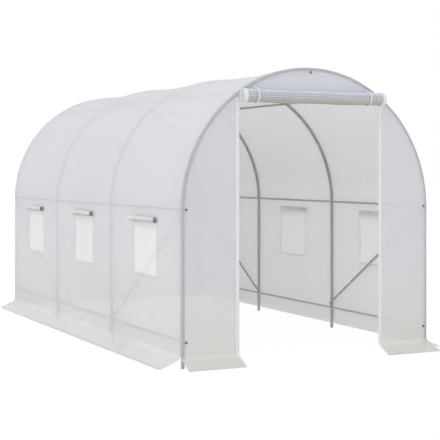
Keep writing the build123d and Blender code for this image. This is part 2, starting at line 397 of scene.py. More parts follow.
def tooth_finish():
    """Milky plastic of the zip's teeth and sliders."""
    finish = Finish("zip_plastic")
    place, _ = finish.place("Object")
    cloud = finish.cloud(place, 45.0, 2.0)
    colour = finish.mix(cloud, shade(0.80, 0.80, 0.80), shade(0.88, 0.88, 0.89))
    return finish.done(finish.node("BsdfPrincipled", inputs={
        "Base Color": colour, "Roughness": 0.3 + 0.12 * cloud}))


THREAD = shade(0.833, 0.840, 0.894)
FILM = shade(0.776, 0.783, 0.847)
END_THREAD = shade(0.728, 0.750, 0.816)
END_PLAIN = shade(0.666, 0.689, 0.761)
# Low-down tints: dust and soil, with painted shade and, on the end sheets, painted warm light from the ground
WALL_DUST_AND_SHADE = shade(0.65, 0.64, 0.68)
END_SOIL_AND_SHADE = (shade(0.71, 0.675, 0.555), shade(0.47, 0.47, 0.415))
THROUGH = shade(0.882, 0.870, 0.858)
# Where the painted shade of the end hoops' tubes starts on the cover
SHADE_BAND_START = END_ROW - 0.006
COVER = film_finish("cover_film", THREAD, FILM, THROUGH, 0.48, (WALL_DUST_AND_SHADE, DUST_AND_SHADE), SHADE_BAND_START)
END_FILM = film_finish("end_film", END_THREAD, END_PLAIN, THROUGH, 0.42, END_SOIL_AND_SHADE)
ROLLED = roll_finish(
    "door_film", shade(0.90, 0.90, 0.92), shade(0.24, 0.275, 0.37), shade(0.70, 0.71, 0.74),
    centre=DOOR_ROLL_CENTRE.z, radius=DOOR_ROLL, width=0.0021, top_highlight=0.75,
    taped=DOOR_ROLL_HALF - EDGE_TAPE, passes=0.16,
)
FLAP = roll_finish(
    "flap_film", shade(0.90, 0.905, 0.93), shade(0.81, 0.82, 0.85), shade(0.96, 0.96, 0.95),
    centre=FLAP_HEIGHT, radius=FLAP_ROLL, width=0.0018, top_highlight=0.3, taped=FLAP_HALF, passes=0.30,
)
# Darker film of the seam and welts: a sewn double layer, partly painted shade of the purlin and hoop behind
SEAM_AND_SHADE = film_finish("seam_film_and_shade", shade(0.74, 0.74, 0.77), shade(0.62, 0.62, 0.66), THROUGH, 0.36)
HEM = film_finish("hem_film", shade(0.92, 0.92, 0.93), shade(0.80, 0.80, 0.82), THROUGH, 0.36)
BINDING = film_finish(
    "binding_film", shade(0.94, 0.94, 0.95), shade(0.90, 0.90, 0.92), shade(0.92, 0.92, 0.93), 0.62)
MESH = screen_finish()
TAPE = tape_finish("white_tape", shade(0.78, 0.79, 0.82), shade(0.66, 0.67, 0.71))
TIE = tape_finish("tie_tape", shade(0.95, 0.95, 0.94), shade(0.90, 0.90, 0.90))
# Tube colours low and high: their difference is painted reflection and shade; the braces keep one colour
OLIVE = shade(0.325, 0.30, 0.24)
HOOP_TUBE = tube_finish("hoop_tube", shade(0.395, 0.398, 0.42), OLIVE)
PURLIN_TUBE = tube_finish("purlin_tube", shade(0.54, 0.505, 0.43), OLIVE)
BRACE_TUBE = tube_finish("brace_tube", OLIVE, OLIVE)
ZINC = zinc_finish()
CAP = cap_finish()
TOOTH = tooth_finish()


def add_piece(name, bm, material, stands_for=()):
    """Turns a finished bmesh into a smooth piece that belongs to the tunnel."""
    mesh = bpy.data.meshes.new(name)
    bm.to_mesh(mesh)
    bm.free()
    mesh.shade_smooth()
    mesh.materials.append(material)
    piece = bpy.data.objects.new(name, mesh)
    bpy.context.scene.collection.objects.link(piece)
    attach(piece, BODY)
    if stands_for:
        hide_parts(*stands_for)
    return piece


def thicken(piece, thickness):
    """Gives a thin band its thickness, half to each side."""
    solid = piece.modifiers.new("thickness", "SOLIDIFY")
    solid.thickness = thickness
    solid.offset = 0.0


def flat_sheet(bm, low, high, cells, cuts_across=(), cuts_along=()):
    """Adds a flat rectangle of film, cut along lines."""
    verts = bmesh.ops.create_grid(bm, x_segments=cells[0], y_segments=cells[1], size=0.5)["verts"]
    size = (high[0] - low[0], high[1] - low[1], 1)
    bmesh.ops.scale(bm, vec=size, verts=verts)
    bmesh.ops.translate(bm, vec=((low[0] + high[0]) / 2, (low[1] + high[1]) / 2, 0), verts=verts)
    for normal, cuts in (((1, 0, 0), cuts_across), ((0, 1, 0), cuts_along)):
        for cut in cuts:
            geom = bm.verts[:] + bm.edges[:] + bm.faces[:]
            bmesh.ops.bisect_plane(bm, geom=geom, plane_co=Vector(normal) * cut, plane_no=normal, dist=1e-6)


def join_in(bm, part):
    """Adds a finished bmesh to another one."""
    mesh = bpy.data.meshes.new("part")
    part.to_mesh(mesh)
    part.free()
    bm.from_mesh(mesh)
    bpy.data.meshes.remove(mesh)


def edges_of(verts):
    """The edges that meet some vertices, each once."""
    return list(dict.fromkeys(edge for vert in verts for edge in vert.link_edges))


def area_of(bm):
    return sum(face.calc_area() for face in bm.faces)


def mark_flat(bm):
    """Keeps the flat pattern, in metres, as the sheet's UV map, and returns its area."""
    layer = bm.loops.layers.uv.new("flat")
    for face in bm.faces:
        for loop in face.loops:
            loop[layer].uv = loop.vert.co.xy
    return area_of(bm)


def drop_faces(bm, unwanted):
    bmesh.ops.delete(bm, geom=[f for f in bm.faces if unwanted(*f.calc_center_median().xy)], context="FACES")


def lay(bm, place):
    """Moves every vertex of a flat sheet to where it hangs."""
    for vert in bm.verts:
        vert.co = place(vert.co.x, vert.co.y)


def add_sheet(bm, low, high, cells, place, cuts_across=(), cuts_along=(), unwanted=()):
    """Adds a sheet, cut out flat and laid where it hangs, and returns its flat area."""
    part = bmesh.new()
    flat_sheet(part, low, high, cells, cuts_across, cuts_along)
    for test in unwanted:
        drop_faces(part, test)
    area = mark_flat(part)
    lay(part, place)
    join_in(bm, part)
    return area


def smooth_step(value):
    value = min(max(value, 0.0), 1.0)
    return value * value * (3 - 2 * value)


def bay_share(y):
    """0 at a hoop and 1 in the middle of a bay, rounded where the film passes over the hoop."""
    away = min((y - ROWS[0]) % BAY, (ROWS[0] - y) % BAY)
    share = (hypot(away, SAG_ROUNDING) - SAG_ROUNDING) / BAY
    return 4 * share * (1 - share) if abs(y) < END_ROW else 0.0


def wrinkle(across, along):
    """Soft slack and a few drawn folds between the hoops."""
    slack = 1 + noise.noise((across * 1.9, along * 1.4, 3.1))
    fold = 1 - abs(noise.noise((across * 2.2 + along * 3.4, across * 0.7 - along * 0.5, 8.4)))
    return bay_share(along) * (WRINKLE * slack + DRAWN_FOLD * fold**6)


def skirt_form(reach):
    """How far a skirt turns at its fold, the bend's radius and the slope's length below the bend."""
    turn = atan2(reach, FOLD - HEM_LIFT)
    return turn, FLARE_BEND / tan(turn / 2), hypot(reach, FOLD - HEM_LIFT) - FLARE_BEND


def skirt_fall(reach):
    turn, radius, slope = skirt_form(reach)
    return turn * radius + slope


def flare(share, reach):
    """Where a skirt stands at this share of its fall: how far out, and how high."""
    turn, radius, slope = skirt_form(reach)
    run = share * (turn * radius + slope)
    bent = min(run / radius, turn)
    past = max(run - turn * radius, 0)
    out = radius * (1 - cos(bent)) + past * sin(turn)
    up = FLARE_RISE - radius * sin(bent) - past * cos(turn)
    return out, up


SKIRT_FALL = skirt_fall(SIDE_HEM - SKIN)
END_FALL = skirt_fall(END_HEM - PANEL_PLANE)
FLARE_START = ARC + (EAVE - FLARE_RISE)
SIDE_EDGE = FLARE_START + SKIRT_FALL
SLEEVE_END = FLARE_START + FLARE_RISE - SLEEVE_LIFT
WRAP_LENGTH = WRAP * WRAP_TURN
WRAP_STEP = WRAP_LENGTH / WRAP_STEPS


def cover_place(across, along, lift=0.0):
    """Where a point of the flat cover lies once it is drawn over the hoops."""
    sign = -1 if across < 0 else 1
    far = abs(across)
    facing = -1 if along < 0 else 1
    y = along
    past = abs(along) - END_ROW
    inner = INNER_LIFT * smooth_step(-past / INNER_RUN)
    stand = SKIN + lift + inner - SAG * bay_share(along) + wrinkle(across, along)
    if past > 0:
        turn = past / WRAP
        stand = HOOP + (WRAP + lift) * cos(turn)
        y = facing * (END_ROW + (WRAP + lift) * sin(turn))
    if far <= ARC:
        angle = far / SKIN
        return Vector((sign * stand * sin(angle), y, EAVE + stand * cos(angle)))
    if far <= FLARE_START + 1e-6 or past > 0:
        return Vector((sign * stand, y, EAVE - (far - ARC)))
    share = (far - FLARE_START) / SKIRT_FALL
    out, up = flare(share, SIDE_HEM - SKIN)
    slack = SAG + (HEM_SAG - SAG) * share
    ripple = RIPPLE * share * noise.noise((along * 3.0, share, sign * 5.0))
    cut = SKIRT_CORNER - min(SIDE_EDGE - far, SKIRT_CORNER)
    pull = SKIRT_CORNER - sqrt(max(SKIRT_CORNER**2 - cut**2, 0))
    y -= facing * pull * smooth_step((abs(along) - END_ROW + CORNER_RUN) / CORNER_RUN)
    hang = slack * bay_share(along)
    x = SKIN + inner * (1 - share) + out - hang + wrinkle(across, along) * (1 - share) + ripple
    return Vector((sign * min(x, SIDE_HEM), y, up + lift))


def off_cover(lift):
    """Lays a flat sheet over the cover, this far off it."""
    return lambda across, along: cover_place(across, along, lift)


def window_strip(sign):
    """The flat cover's stretch that a side's windows take up, from head to sill."""
    return sorted((sign * (ARC + EAVE - WINDOW_HEAD), sign * (ARC + EAVE - WINDOW_SILL)))


def in_window(across, along):
    beside = min(abs(along - bay) for bay in BAY_MIDDLES)
    return ARC + EAVE - WINDOW_HEAD < abs(across) < ARC + EAVE - WINDOW_SILL and beside < WINDOW_HALF


def past_sleeve(across, along):
    """Whether a place of the flat cover lies past the sleeve that goes down round an end leg."""
    sleeve = FLARE_START if abs(along) < END_ROW + WRAP_STEP else SLEEVE_END
    return abs(along) > END_ROW and abs(across) > sleeve


def make_cover():
    """One sheet from hem to hem over all four hoops, with the windows cut out of it."""
    end = END_ROW + WRAP_LENGTH
    turns = [END_ROW + WRAP_STEP * step for step in range(WRAP_STEPS)]
    window_sides = [bay + side * WINDOW_HALF for bay in BAY_MIDDLES for side in (-1, 1)]
    corner = [SIDE_EDGE - SKIRT_CORNER * share for share in CORNER_CUTS]
    edges = (FLARE_START, SLEEVE_END, *corner)
    across = [sign * edge for sign in (-1, 1) for edge in edges] + window_strip(-1) + window_strip(1)
    along = [facing * turn for facing in (-1, 1) for turn in turns] + window_sides
    bm = bmesh.new()
    cells = (round(2 * SIDE_EDGE / CELL), round(2 * end / CELL / LONG_CELL))
    corners = (-SIDE_EDGE, -end), (SIDE_EDGE, end)
    area = add_sheet(bm, *corners, cells, cover_place, across, along, (in_window, past_sleeve))
    strips = [f"roof_cover_{strip}" for strip in STRIPS]
    sides = [f"{side}_{part}" for side, _ in SIDES for part in ("wall_cover", "skirt")]
    cover = add_piece("cover_sheet", bm, COVER, strips + sides)
    return cover, (2 * SIDE_EDGE, 2 * end), area


def end_surface(facing, x, run, lift=0.0):
    """A point of an end sheet, this far up from where its skirt starts to turn out."""
    if run < 0:
        share = -run / END_FALL
        out, up = flare(share, END_HEM - PANEL_PLANE)
        ripple = END_RIPPLE * share * noise.noise((x * 4.0, share * 2, facing * 3.0))
        beside = max(abs(x) - DOOR_HALF, 0) / (PANEL_EDGE - DOOR_HALF)
        splay = SPLAY[facing, x > 0] * share
        x += copysign((END_SPREAD * smooth_step(8 * share) + splay) * beside, x)
        clear = LEG_CLEAR * smooth_step(6 * share) * smooth_step((beside - 0.8) / 0.1)
        y = min(PANEL_PLANE + max(out - abs(ripple), clear) + lift * (1 - share), END_HEM)
        return Vector((x, facing * y, up + lift * share))
    z = FLARE_RISE + run
    inside = PANEL_EDGE - hypot(x, max(z - EAVE, 0))
    held = min(1.0, 5 * inside) * min(1.0, 4 * run) * min(1.0, 6 * abs(abs(x) - DOOR_HALF) + (facing > 0))
    slack = END_SLACK * (0.6 + noise.noise((x * 2.0, z * 1.6, facing * 7.0))) * max(held, 0)
    return Vector((x, facing * (PANEL_PLANE + max(slack, 0) + lift), z))


def end_place(facing, foot):
    """Maps a grid to an end sheet: columns at even turns of the arch, rows from the hem or foot up to it."""
    def place(turn, rise):
        top = EAVE + PANEL_EDGE * cos(turn)
        run = rise * END_FALL if rise < 0 else foot - FLARE_RISE + (top - foot) * rise
        return end_surface(facing, -facing * PANEL_EDGE * sin(turn), run)
    return place


def end_sheet(bm, facing, low_turn, high_turn, foot, skirted):
    """Adds one stretch of an end sheet, with the skirt below it where it has one."""
    part = bmesh.new()
    columns = max(6, round(abs(high_turn - low_turn) * PANEL_EDGE / CELL))
    start, rows, cuts = (-1.0, END_ROWS, (0.0,)) if skirted else (0.0, HEAD_ROWS, ())
    flat_sheet(part, (low_turn, start), (high_turn, 1.0), (columns, rows), (), cuts)
    layer = part.loops.layers.uv.new("flat")
    place = end_place(facing, foot)
    for face in part.faces:
        for loop in face.loops:
            turn, rise = loop.vert.co.xy
            spot = place(turn, rise)
            fall = rise * END_FALL if rise < 0 else spot.z - foot
            loop[layer].uv = (-facing * spot.x, foot + fall)
    lay(part, place)
    join_in(bm, part)


def make_front():
    """The front sheet: a stretch on each side of the doorway and one over its head."""
    door_turn = asin(DOOR_HALF / PANEL_EDGE)
    bm = bmesh.new()
    end_sheet(bm, -1, -pi / 2, -door_turn, FLARE_RISE, True)
    end_sheet(bm, -1, door_turn, pi / 2, FLARE_RISE, True)
    end_sheet(bm, -1, -door_turn, door_turn, DOOR_HEAD, False)
    area = area_of(bm)
    panels = ("front_left_panel", "front_right_panel", "front_top_panel")
    nodes = (*panels, "front_left_skirt", "front_right_skirt")
    front = add_piece("front_sheet", bm, END_FILM, nodes)
    return front, area


def make_back():
    """The back sheet: one whole stretch with its skirt."""
    bm = bmesh.new()
    end_sheet(bm, 1, -pi / 2, pi / 2, FLARE_RISE, True)
    area = area_of(bm)
    back = add_piece("back_sheet", bm, END_FILM, ("back_panel", "back_skirt"))
    return back, area


cover, cover_flat, cover_area = make_cover()
front, front_area = make_front()
back, back_area = make_back()


def make_screens(side, sign):
    """Mesh panes behind a wall's windows."""
    bm = bmesh.new()
    low, high = window_strip(sign)
    for bay in BAY_MIDDLES:
        add_sheet(
            bm,
            (low - SCREEN_LAP, bay - WINDOW_HALF - SCREEN_LAP),
            (high + SCREEN_LAP, bay + WINDOW_HALF + SCREEN_LAP),
            PANE_CELLS,
            off_cover(-SCREEN_DEPTH),
        )
    screens = add_piece(f"{side}_mesh_windows", bm, MESH, (f"{side}_window_screens",))
    pane = (2 * (WINDOW_HALF + SCREEN_LAP), WINDOW_HEAD - WINDOW_SILL + 2 * SCREEN_LAP)
    return screens, (len(BAY_MIDDLES) * pane[0], pane[1])


def rolled_length(outer, inner, pitch):
    return pi * (outer**2 - inner**2) / pitch


def wound(run, outer, pitch):
    """A point of a rolled sheet, from the roll's middle: towards the wall, and up."""
    radius = sqrt(max(outer**2 - run * pitch / pi, 0.0))
    turn = 2 * pi * (outer - radius) / pitch
    return radius * cos(turn), -radius * sin(turn)


DOOR_CORE = 0.012
DOOR_PITCH = 0.0040
DOOR_TAIL = 0.058
DOOR_LENGTH = rolled_length(DOOR_ROLL, DOOR_CORE, DOOR_PITCH) + DOOR_TAIL
DOOR_STEPS = 330
DOOR_DENT = 0.014
DOOR_UNEVEN = 0.005
DOOR_DROOP = 0.003
ARCH_MARGIN = 0.016
TIE_INSETS = (0.003, 0.028)
TIE_PLACES = (ties_low.x + TIE_INSETS[0], ties_high.x - TIE_INSETS[1])


def door_tail(x):
    """How far the door's sheet runs up the gable from the roll's middle, kept under the arch."""
    arch = EAVE + sqrt(SKIN**2 - x**2) - ARCH_MARGIN
    return min(DOOR_TAIL, arch - DOOR_ROLL_CENTRE.z)


def door_place(x, run):
    """Where a point of the door's sheet lies: up the gable, then wound into the roll."""
    if run < DOOR_TAIL:
        up = door_tail(x) * (1 - run / DOOR_TAIL)
        return Vector((x, DOOR_ROLL_CENTRE.y + DOOR_ROLL, DOOR_ROLL_CENTRE.z + up))
    towards, up = wound(run - DOOR_TAIL, DOOR_ROLL, DOOR_PITCH)
    dent = 1 - DOOR_DENT * (1 + noise.noise((x * 6.0, run * 0.8, 4.4)))
    uneven = DOOR_UNEVEN * noise.noise((run * 3.0, x * 0.1, 2.0)) * abs(x) / DOOR_ROLL_HALF
    droop = DOOR_DROOP * (1 - cos(2 * pi * x / TIE_PLACES[1])) / 2
    y = DOOR_ROLL_CENTRE.y + DOOR_ROLL - (DOOR_ROLL - towards) * dent
    return Vector((x + uneven, y, DOOR_ROLL_CENTRE.z + up * dent - droop))


def make_door_roll():
    """The door's sheet, rolled up outwards over the head of the doorway."""
    bm = bmesh.new()
    add_sheet(bm, (-DOOR_ROLL_HALF, 0), (DOOR_ROLL_HALF, DOOR_LENGTH), (48, DOOR_STEPS), door_place)
    roll = add_piece("rolled_door", bm, ROLLED, ("door_roll",))
    return roll, (2 * DOOR_ROLL_HALF, DOOR_LENGTH)


def make_door_tapes():
    """Thick white tape down the door's two edges, wound up with it."""
    bm = bmesh.new()
    for sign in (-1, 1):
        low, high = sorted((sign * (DOOR_ROLL_HALF - EDGE_TAPE), sign * (DOOR_ROLL_HALF + EDGE_TAPE_OVER)))
        add_sheet(bm, (low, 0), (high, DOOR_LENGTH), (3, DOOR_STEPS), door_place)
    tapes = add_piece("door_edge_tapes", bm, TAPE)
    thicken(tapes, EDGE_TAPE_THICKNESS)
    return tapes


FLAP_OUT = flap_rolls_high.x - FLAP_ROLL
FLAP_CORE = 0.007
FLAP_PITCH = 0.0042
FLAP_TAIL = 0.024
FLAP_DENT = 0.03
FLAP_UNEVEN = 0.006
FLAP_LENGTH = rolled_length(FLAP_ROLL, FLAP_CORE, FLAP_PITCH) + FLAP_TAIL


def make_flap_rolls(side, sign):
    """The window flaps, each rolled up outwards above its window."""
    bm = bmesh.new()
    for bay in BAY_MIDDLES:

        def place(along, run):
            y = bay - sign * along
            if run < FLAP_TAIL:
                return Vector((sign * (FLAP_OUT - FLAP_ROLL), y, FLAP_HEIGHT + FLAP_TAIL - run))
            towards, up = wound(run - FLAP_TAIL, FLAP_ROLL, FLAP_PITCH)
            dent = 1 - FLAP_DENT * (1 + noise.noise((along * 9.0, run * 2.0, bay * 3 + sign)))
            uneven = FLAP_UNEVEN * noise.noise((run * 5.0, bay, sign * 2.0)) * abs(along) / FLAP_HALF
            away = FLAP_OUT - FLAP_ROLL + (FLAP_ROLL - towards) * dent
            return Vector((sign * away, y + uneven, FLAP_HEIGHT + up * dent))

        add_sheet(bm, (-FLAP_HALF, 0), (FLAP_HALF, FLAP_LENGTH), (22, 150), place)
    rolls = add_piece(f"{side}_rolled_flaps", bm, FLAP, (f"{side}_window_rolls",))
    return rolls, (len(BAY_MIDDLES) * 2 * FLAP_HALF, FLAP_LENGTH)


TIE_TURN = 4.2
TIE_CELL = 0.005


def tie_path(run, anchor, radius):
    """A ribbon's path from an anchor on the wall over a roll and down round its front.

    Places are measured from the roll's middle, towards the wall and up."""
    away = anchor.length
    touch = atan2(anchor.y, anchor.x) + acos(radius / away)
    straight = sqrt(away**2 - radius**2)
    if run < straight:
        rim = Vector((radius * cos(touch), radius * sin(touch)))
        return anchor.lerp(rim, run / straight)
    turn = touch + min((run - straight) / radius, TIE_TURN)
    return Vector((radius * cos(turn), radius * sin(turn)))


def ribbon(bm, width, length, place):
    """Adds a flat ribbon, laid along a path."""
    cells = (3, max(8, round(length / TIE_CELL)))
    add_sheet(bm, (-width / 2, 0), (width / 2, length), cells, place)


TIE_WIDTH = 0.013
TIE_LIFT = 0.0018
TIE_RISE = 0.066
TIE_ROUND = 3.2
TIE_THICKNESS = 0.0012


def make_door_ties():
    """White ribbons, sewn to the gable, that hold the rolled door."""
    radius = DOOR_ROLL + TIE_LIFT
    anchor = Vector((DOOR_ROLL, TIE_RISE))
    bm = bmesh.new()
    for middle_x in TIE_PLACES:

        def place(x, run):
            towards, up = tie_path(run, anchor, radius)
            return Vector((middle_x + x, DOOR_ROLL_CENTRE.y + towards, DOOR_ROLL_CENTRE.z + up))

        ribbon(bm, TIE_WIDTH, anchor.length + radius * TIE_ROUND, place)
    ties = add_piece("door_roll_ties", bm, TAPE, ("door_ties",))
    thicken(ties, TIE_THICKNESS)
    return ties


FLAP_TIE_PLACE = 0.11
FLAP_TIE_WIDTH = 0.012
FLAP_TIE_LIFT = 0.0008
FLAP_TIE_START = 0.75
FLAP_TIE_THICKNESS = 0.001
# An anchor has to stand a little off the rim that it is tied round
OFF_RIM = 1.001


def make_flap_ties(side, sign):
    """Narrow bands round each rolled flap, from the wall over its top."""
    radius = FLAP_ROLL + FLAP_TIE_LIFT
    anchor = Vector((cos(FLAP_TIE_START), sin(FLAP_TIE_START))) * radius * OFF_RIM
    bm = bmesh.new()
    for bay in BAY_MIDDLES:
        for offset in (-FLAP_TIE_PLACE, FLAP_TIE_PLACE):

            def place(along, run):
                towards, up = tie_path(run, anchor, radius)
                return Vector((sign * (FLAP_OUT - towards), bay + offset - sign * along, FLAP_HEIGHT + up))

            ribbon(bm, FLAP_TIE_WIDTH, radius * TIE_TURN, place)
    ties = add_piece(f"{side}_flap_ties", bm, TIE)
    thicken(ties, FLAP_TIE_THICKNESS)
    return ties


HEM_WIDTH = 0.022
HEM_STAND = 0.0011


def make_side_hem(side, sign):
    """The turned-over hem along a side skirt."""
    edges = sorted((sign * (SIDE_EDGE - HEM_WIDTH), sign * SIDE_EDGE))
    bm = bmesh.new()
    add_sheet(bm, (edges[0], -END_ROW), (edges[1], END_ROW), (3, 150), off_cover(HEM_STAND))
    return add_piece(f"{side}_hem", bm, HEM)


def make_end_hems(name, facing, spans):
    """The turned-over hems along an end's skirts."""
    def place(x, run):
        return end_surface(facing, -facing * x, run, HEM_STAND)

    bm = bmesh.new()
    for low, high in spans:
        add_sheet(bm, (low, -END_FALL), (high, HEM_WIDTH - END_FALL), (24, 3), place)
    return add_piece(name, bm, HEM)


SEAM_WIDTH = 0.011
SEAM_STAND = 0.0009


def make_seam(side, sign):
    """A sewn lap that runs the length of the cover, along the upper purlin; its darker film is partly painted
    shade of the purlin behind it.
    """
    across = sign * (ARC + EAVE - middle(f"{side}_upper_purlin").z)
    bm = bmesh.new()
    corners = (across - SEAM_WIDTH / 2, -END_ROW), (across + SEAM_WIDTH / 2, END_ROW)
    add_sheet(bm, *corners, (2, 170), off_cover(SEAM_STAND))
    return add_piece(f"{side}_seam", bm, SEAM_AND_SHADE)


SURROUND = 0.013
SURROUND_STAND = 0.0012


def make_surrounds(side, sign):
    """A narrow binding round each window."""
    low, high = window_strip(sign)
    bm = bmesh.new()
    for bay in BAY_MIDDLES:
        add_sheet(
            bm,
            (low - SURROUND, bay - WINDOW_HALF - SURROUND),
            (high + SURROUND, bay + WINDOW_HALF + SURROUND),
            PANE_CELLS,
            off_cover(SURROUND_STAND),
            (low, high),
            (bay - WINDOW_HALF, bay + WINDOW_HALF),
            (in_window,),
        )
    return add_piece(f"{side}_window_bindings", bm, BINDING)


ZIP_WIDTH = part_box("door_zips")[1].x - DOOR_HALF
ZIP_STAND = 0.0014
ZIP_OVER = 0.003
ZIP_THICKNESS = 0.001
ZIP_TOP = DOOR_HEAD - FLARE_RISE
ZIP_TAPER = 0.7
TOOTH_PITCH = 0.005
TOOTH_SIZE = (0.0055, 0.0024, 0.0024)
TOOTH_PLACE = 0.002
TOOTH_STAND = 0.0012
SLIDER_DROP = 0.075
SLIDER_STAND = 0.003
SLIDER_EDGE = 0.0009
# The slider's body and its pull: how far off, and the size
SLIDER_BOXES = (((0, 0, 0), (0.011, 0.006, 0.014)), ((0, -0.004, -0.022), (0.007, 0.002, 0.034)))


def zip_place(x, run):
    """A point of a zip's tape, which narrows to a binding where the skirt turns out."""
    width = (abs(x) - DOOR_HALF) * (1 - ZIP_TAPER * smooth_step(-run / FLARE_RISE))
    return end_surface(-1, copysign(DOOR_HALF + width, x), run, ZIP_STAND)


def make_zip_tapes():
    """White tapes down both edges of the doorway, out over the skirt to the hem."""
    bm = bmesh.new()
    for sign in (-1, 1):
        low, high = sorted((sign * (DOOR_HALF - ZIP_OVER), sign * (DOOR_HALF + ZIP_WIDTH)))
        add_sheet(bm, (low, -END_FALL), (high, ZIP_TOP), (4, 130), zip_place)
    tapes = add_piece("zip_tapes", bm, TAPE, ("door_zips",))
    thicken(tapes, ZIP_THICKNESS)
    return tapes


def make_zip_teeth():
    """Teeth along the zips' free edges, with a slider and its pull at the top of each."""
    bm = bmesh.new()
    count = round(ZIP_TOP / TOOTH_PITCH)
    for sign in (-1, 1):
        x = sign * (DOOR_HALF + TOOTH_PLACE)
        for step in range(count):
            spot = end_surface(-1, x, (step + 0.5) * TOOTH_PITCH, ZIP_STAND + TOOTH_STAND)
            box = Matrix.Translation(spot) @ Matrix.Diagonal((*TOOTH_SIZE, 1))
            bmesh.ops.create_cube(bm, size=1.0, matrix=box)
        slider = end_surface(-1, x, ZIP_TOP - SLIDER_DROP, ZIP_STAND + SLIDER_STAND)
        for offset, size in SLIDER_BOXES:
            box = Matrix.Translation(slider + Vector(offset)) @ Matrix.Diagonal((*size, 1))
            made = bmesh.ops.create_cube(bm, size=1.0, matrix=box)["verts"]
            bmesh.ops.bevel(
                bm, geom=edges_of(made), offset=SLIDER_EDGE, offset_type="OFFSET", affect="EDGES",
                segments=2, profile=0.5, material=-1,
            )
    teeth = add_piece("zip_teeth", bm, TOOTH)
    teeth.data.set_sharp_from_angle(angle=radians(40))
    return teeth


def pipe(bm, sides, places, capped=False):
    """Adds a tube through a row of placed circles."""
    ring = bmesh.ops.create_circle(bm, cap_ends=capped, segments=sides, radius=1.0, matrix=places[0])["verts"]
    edges = edges_of(ring)
    for before, after in zip(places, places[1:]):
        grown = bmesh.ops.extrude_edge_only(bm, edges=edges)["geom"]
        ring = [item for item in grown if isinstance(item, bmesh.types.BMVert)]
        made = set(ring)
        edges = [item for item in grown if isinstance(item, bmesh.types.BMEdge) and set(item.verts) <= made]
        bmesh.ops.transform(bm, matrix=after @ before.inverted(), verts=ring)
    if capped:
        bmesh.ops.edgeloop_fill(bm, edges=edges)


def circle_at(spot, way, radius, side=Vector((0, 1, 0)), flat=None):
    """Places a unit circle across a direction, squeezed to an oval where flat is given."""
    normal = Vector(way).normalized()
    first = (side - normal * side.dot(normal)).normalized()
    second = normal.cross(first)
    turn = Matrix((first, second, normal)).transposed().to_4x4()
    return Matrix.Translation(spot) @ turn @ Matrix.Diagonal((radius, flat or radius, radius, 1))


TUBE_SIDES = 20
ARCH_STEPS = 56
SPIGOT = 0.0105
SOCKET = SPIGOT + 0.0004
SOCKET_DEPTH = 0.012
SPIGOT_RISE = 0.02
JOINT_GAP = 0.0012
RIM = 0.0012


def make_arch(hoop, row):
    """A hoop's arch: round tube bent over the tunnel, with straight tails down to the legs."""
    bottom = JOINT + JOINT_GAP
    places = []
    for step in range(ARCH_STEPS + 1):
        angle = pi * step / ARCH_STEPS
        spot = Vector((HOOP * cos(angle), row, EAVE + HOOP * sin(angle)))
        places.append(circle_at(spot, (-sin(angle), 0, cos(angle)), TUBE))
    socket = [(SOCKET, bottom + SOCKET_DEPTH), (SOCKET, bottom)]
    right = socket + [(TUBE - RIM / 2, bottom), (TUBE, bottom + RIM)]
    tail = [circle_at(Vector((HOOP, row, z)), (0, 0, 1), radius) for radius, z in right]
    other = [circle_at(Vector((-HOOP, row, z)), (0, 0, -1), radius) for radius, z in reversed(right)]
    bm = bmesh.new()
    pipe(bm, TUBE_SIDES, tail + places + other)
    bmesh.ops.recalc_face_normals(bm, faces=bm.faces[:])
    arch = add_piece(f"{hoop}_arch_tube", bm, HOOP_TUBE, (f"{hoop}_hoop_arch",))
    arch.data.set_sharp_from_angle(angle=radians(50))


def make_leg(hoop, row, side, sign):
    """A hoop's leg, with the swaged top that the arch slips over."""
    foot = [(TUBE - RIM, 0.0), (TUBE, RIM)]
    shoulder = [(TUBE, JOINT - RIM), (TUBE - RIM / 2, JOINT)]
    steps = foot + shoulder + [(SPIGOT, JOINT + 0.0002), (SPIGOT, JOINT + SPIGOT_RISE)]
    bm = bmesh.new()
    places = [circle_at(Vector((sign * HOOP, row, z)), (0, 0, 1), radius) for radius, z in steps]
    pipe(bm, TUBE_SIDES, places, capped=True)
    bmesh.ops.recalc_face_normals(bm, faces=bm.faces[:])
    leg = add_piece(f"{hoop}_{side}_leg_tube", bm, HOOP_TUBE, (f"{hoop}_hoop_{side}_leg",))
    leg.data.set_sharp_from_angle(angle=radians(50))


BRACE = 0.008
BRACE_RISE = 0.032
BRACE_FACE = HOOP - TUBE
# Along a brace from its bolt: how far on, half width, half depth
BRACE_STEPS = (
    (-0.0098, 0.0030, 0.0018), (-0.0080, 0.0064, 0.0024), (-0.004, 0.0092, 0.0026), (0.000, 0.0100, 0.0026),
    (0.022, 0.0101, 0.0026), (0.031, 0.0099, 0.0032), (0.041, 0.0092, 0.0050), (0.051, 0.0084, 0.0070),
    (0.060, BRACE, BRACE),
)


def brace_ends():
    """The foot and head of each brace, on both sides: from an inner hoop up to an end hoop."""
    low = middle("right_lower_purlin").z + BRACE_RISE
    high = middle("right_upper_purlin").z - BRACE_RISE
    for inner, end in ((ROWS[1], ROWS[0]), (ROWS[-2], ROWS[-1])):
        yield Vector((0, inner, low)), Vector((0, end, high))


def make_braces(side, sign):
    """Diagonal tubes whose ends are flattened and bolted to the hoops."""
    bm = bmesh.new()
    inward = Vector((-sign, 0, 0))
    for foot, head in brace_ends():
        way = (head - foot).normalized()
        length = (head - foot).length
        stations = list(BRACE_STEPS)
        stations += [(length - on, wide, deep) for on, wide, deep in reversed(BRACE_STEPS)]
        places = []
        for on, wide, deep in stations:
            spot = foot + way * on + Vector((sign * BRACE_FACE, 0, 0)) + inward * deep
            places.append(circle_at(spot, way, deep, side=inward, flat=wide))
        pipe(bm, TUBE_SIDES, places, capped=True)
    bmesh.ops.recalc_face_normals(bm, faces=bm.faces[:])
    add_piece(f"{side}_brace_tubes", bm, BRACE_TUBE, (f"{side}_braces",))


BRACE_PLATE = 0.005
